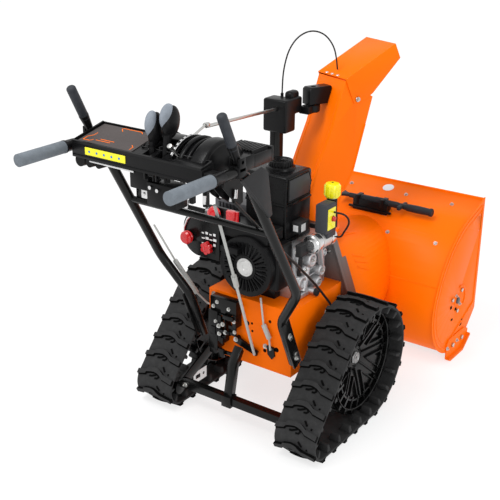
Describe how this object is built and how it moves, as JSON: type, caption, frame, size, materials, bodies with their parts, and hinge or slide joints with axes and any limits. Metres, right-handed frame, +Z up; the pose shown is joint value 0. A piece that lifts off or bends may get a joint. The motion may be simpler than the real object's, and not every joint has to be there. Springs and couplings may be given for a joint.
{
  "type": "snow blower",
  "caption": "Walk-behind two-stage snow blower on rubber tracks, with an auger housing, a turning discharge chute, an engine, handlebars and control levers.",
  "frame": {"origin": "on the ground below the middle of the machine", "axes": "+X to the operator's right, +Y along the travel direction, +Z up"},
  "size_m": [0.768, 1.595, 1.1691],
  "materials": {
    "orange_paint": "gloss powder coat",
    "black_paint": "satin powder coat",
    "black_plastic": "moulded, fine grain",
    "grey_plastic": "moulded",
    "red_plastic": "gloss",
    "yellow_plastic": "gloss",
    "track_rubber": "matte",
    "grip_rubber": "soft matte",
    "zinc_steel": "zinc plated",
    "cast_metal": "sand cast",
    "cast_gear": "as cast",
    "dark_steel": "dark oiled steel",
    "belt_rubber": "matte"
  },
  "bodies": {
    "chassis": {"auger_housing": "orange_paint", "housing_sides": "orange_paint", "impeller_drum": "orange_paint", "scraper_bar": "black_paint", "skid_shoes": "orange_paint", "fasteners": "zinc_steel", "chute_base": "black_plastic", "gear_case": "cast_gear", "drive_belt": "belt_rubber", "belt_cover": "grey_plastic", "frame_box": "orange_paint", "axle": "dark_steel", "crankcase": "cast_metal", "engine_cowl": "black_plastic", "recoil_cover": "black_plastic", "fuel_tank": "black_plastic", "muffler": "zinc_steel", "starter_motor": "cast_metal", "control_panel": "black_plastic", "handlebars": "black_paint", "dash_panel": "black_plastic", "speed_console": "black_plastic", "grips": "grip_rubber", "headlight": "black_plastic", "side_cover": "black_plastic", "gearbox_cover": "black_plastic", "gearbox_post": "black_paint", "clutch_springs": "zinc_steel", "steer_cable": "black_plastic", "starter_cord": "black_plastic", "deflector_cable": "black_plastic"},
    "tool": {"clean_out_tool": "black_plastic"},
    "crank": {"crankshaft": "dark_steel"},
    "impeller_rotor": {"impeller": "orange_paint"},
    "auger": {"auger_flights": "orange_paint", "auger_shaft": "dark_steel"},
    "track_carriage": {"track_right": "track_rubber", "track_left": "track_rubber", "track_frame": "black_paint"},
    "drive_right": {"drive_wheel_right": "black_plastic"},
    "drive_left": {"drive_wheel_left": "black_plastic"},
    "idler_right": {"rear_wheel_right": "black_plastic"},
    "idler_left": {"rear_wheel_left": "black_plastic"},
    "recoil_grip": {"recoil_handle": "black_plastic"},
    "fuel_lid": {"fuel_cap": "black_plastic"},
    "oil_lid": {"oil_cap": "yellow_plastic"},
    "start_button": {"starter_button": "red_plastic"},
    "choke": {"choke_knob": "red_plastic"},
    "throttle": {"throttle_knob": "red_plastic"},
    "primer": {"primer_bulb": "red_plastic"},
    "key": {"ignition_key": "red_plastic"},
    "clutch_right": {"clutch_lever_right": "grip_rubber"},
    "clutch_left": {"clutch_lever_left": "grip_rubber"},
    "chute_body": {"chute": "orange_paint"},
    "chute_cap": {"deflector": "orange_paint"},
    "chute_shaft": {"chute_rod": "zinc_steel"},
    "chute_stick": {"chute_lever": "grey_plastic"},
    "deflector_stick": {"deflector_lever": "grey_plastic"},
    "speed_handle": {"speed_lever": "zinc_steel"},
    "shift_link": {"shift_rod": "zinc_steel"}
  },
  "joints": [
    {"name": "tool_lift", "type": "slide", "parent": "chassis", "child": "tool", "axis": [0, 0, 1], "range_m": [0, 0.15]},
    {"name": "crank_spin", "type": "hinge", "parent": "chassis", "child": "crank", "pos_m": [0, 0.06, 0.523], "axis": [0, 1, 0], "continuous": true},
    {"name": "impeller_spin", "type": "hinge", "parent": "chassis", "child": "impeller_rotor", "pos_m": [0, 0.3, 0.29], "axis": [0, 1, 0], "continuous": true},
    {"name": "auger_spin", "type": "hinge", "parent": "chassis", "child": "auger", "pos_m": [0, 0.62, 0.22], "axis": [1, 0, 0], "continuous": true},
    {"name": "track_pitch", "type": "hinge", "parent": "chassis", "child": "track_carriage", "pos_m": [0, 0.061, 0.202], "axis": [1, 0, 0], "range_deg": [-10, 5]},
    {"name": "drive_wheel_right_spin", "type": "hinge", "parent": "chassis", "child": "drive_right", "pos_m": [0.274, 0.061, 0.202], "axis": [1, 0, 0], "continuous": true},
    {"name": "drive_wheel_left_spin", "type": "hinge", "parent": "chassis", "child": "drive_left", "pos_m": [-0.274, 0.061, 0.202], "axis": [1, 0, 0], "continuous": true},
    {"name": "rear_wheel_right_spin", "type": "hinge", "parent": "track_carriage", "child": "idler_right", "pos_m": [0.274, -0.235, 0.068], "axis": [1, 0, 0], "continuous": true},
    {"name": "rear_wheel_left_spin", "type": "hinge", "parent": "track_carriage", "child": "idler_left", "pos_m": [-0.274, -0.235, 0.068], "axis": [1, 0, 0], "continuous": true},
    {"name": "recoil_pull", "type": "slide", "parent": "chassis", "child": "recoil_grip", "axis": [0, -1, 0], "range_m": [0, 0.3], "stiffness_N_per_m": 20, "springref_m": -0.1},
    {"name": "fuel_cap_turn", "type": "hinge", "parent": "chassis", "child": "fuel_lid", "pos_m": [-0.006, 0.03, 0.8], "axis": [0, 0, 1], "range_deg": [0, 90]},
    {"name": "oil_cap_turn", "type": "hinge", "parent": "chassis", "child": "oil_lid", "pos_m": [0.129, 0.119, 0.72], "axis": [0, 0, 1], "range_deg": [0, 90]},
    {"name": "starter_button_press", "type": "slide", "parent": "chassis", "child": "start_button", "axis": [-1, 0, 0], "range_m": [0, 0.003], "stiffness_N_per_m": 400, "springref_m": -0.001},
    {"name": "choke_turn", "type": "hinge", "parent": "chassis", "child": "choke", "pos_m": [-0.219, -0.16, 0.573], "axis": [0, 1, 0], "range_deg": [0, 90]},
    {"name": "throttle_turn", "type": "hinge", "parent": "chassis", "child": "throttle", "pos_m": [-0.144, -0.16, 0.5527], "axis": [0, 1, 0], "range_deg": [-60, 0]},
    {"name": "primer_press", "type": "slide", "parent": "chassis", "child": "primer", "axis": [0, 1, 0], "range_m": [0, 0.004], "stiffness_N_per_m": 400, "springref_m": -0.001},
    {"name": "key_pull", "type": "slide", "parent": "chassis", "child": "key", "axis": [0, -1, 0], "range_m": [0, 0.008]},
    {"name": "clutch_right_squeeze", "type": "hinge", "parent": "chassis", "child": "clutch_right", "pos_m": [0.246, -0.54, 0.992], "axis": [1, 0, 0], "range_deg": [0, 55], "stiffness_Nm_per_rad": 1, "springref_deg": -20.05},
    {"name": "clutch_left_squeeze", "type": "hinge", "parent": "chassis", "child": "clutch_left", "pos_m": [-0.246, -0.54, 0.992], "axis": [1, 0, 0], "range_deg": [0, 55], "stiffness_Nm_per_rad": 1, "springref_deg": -20.05},
    {"name": "chute_turn", "type": "hinge", "parent": "chassis", "child": "chute_body", "pos_m": [-0.058, 0.29, 0.55], "axis": [0, 0, 1], "range_deg": [-100, 85], "deforming": ["deflector_cable"]},
    {"name": "deflector_tilt", "type": "hinge", "parent": "chute_body", "child": "chute_cap", "pos_m": [-0.01155, 0.40497, 0.949], "axis": [0.9272, -0.3746, 0], "range_deg": [-40, 5], "deforming": ["deflector_cable"]},
    {"name": "chute_rod_spin", "type": "hinge", "parent": "chassis", "child": "chute_shaft", "pos_m": [-0.109, 0.158, 0.935], "axis": [0.2086, -0.9701, 0.1244], "range_deg": [-600, 510]},
    {"name": "chute_lever_move", "type": "hinge", "parent": "chassis", "child": "chute_stick", "pos_m": [0.02, -0.6, 0.93], "axis": [1, 0, 0], "range_deg": [-10, 8.5]},
    {"name": "deflector_lever_move", "type": "hinge", "parent": "chassis", "child": "deflector_stick", "pos_m": [0.058, -0.6, 0.93], "axis": [1, 0, 0], "range_deg": [-2, 14.5]},
    {"name": "speed_lever_move", "type": "hinge", "parent": "chassis", "child": "speed_handle", "pos_m": [0.097, -0.551, 0.956], "axis": [1, 0, 0], "range_deg": [-75, 5]},
    {"name": "shift_rod_slide", "type": "slide", "parent": "chassis", "child": "shift_link", "axis": [0.0957, -0.4307, 0.8974], "range_m": [-0.003, 0.0395]}
  ],
  "couplings": [
    {"joint": "impeller_spin", "follows": "crank_spin", "ratio": 0.53333},
    {"joint": "auger_spin", "follows": "crank_spin", "ratio": -0.053333},
    {"joint": "rear_wheel_right_spin", "follows": "drive_wheel_right_spin", "ratio": 3.7126},
    {"joint": "rear_wheel_left_spin", "follows": "drive_wheel_left_spin", "ratio": 3.7126},
    {"joint": "chute_rod_spin", "follows": "chute_turn", "ratio": 6},
    {"joint": "chute_lever_move", "follows": "chute_turn", "ratio": 0.1},
    {"joint": "deflector_lever_move", "follows": "deflector_tilt", "ratio": -0.35},
    {"joint": "shift_rod_slide", "follows": "speed_lever_move", "m_per_rad": -0.03}
  ]
}
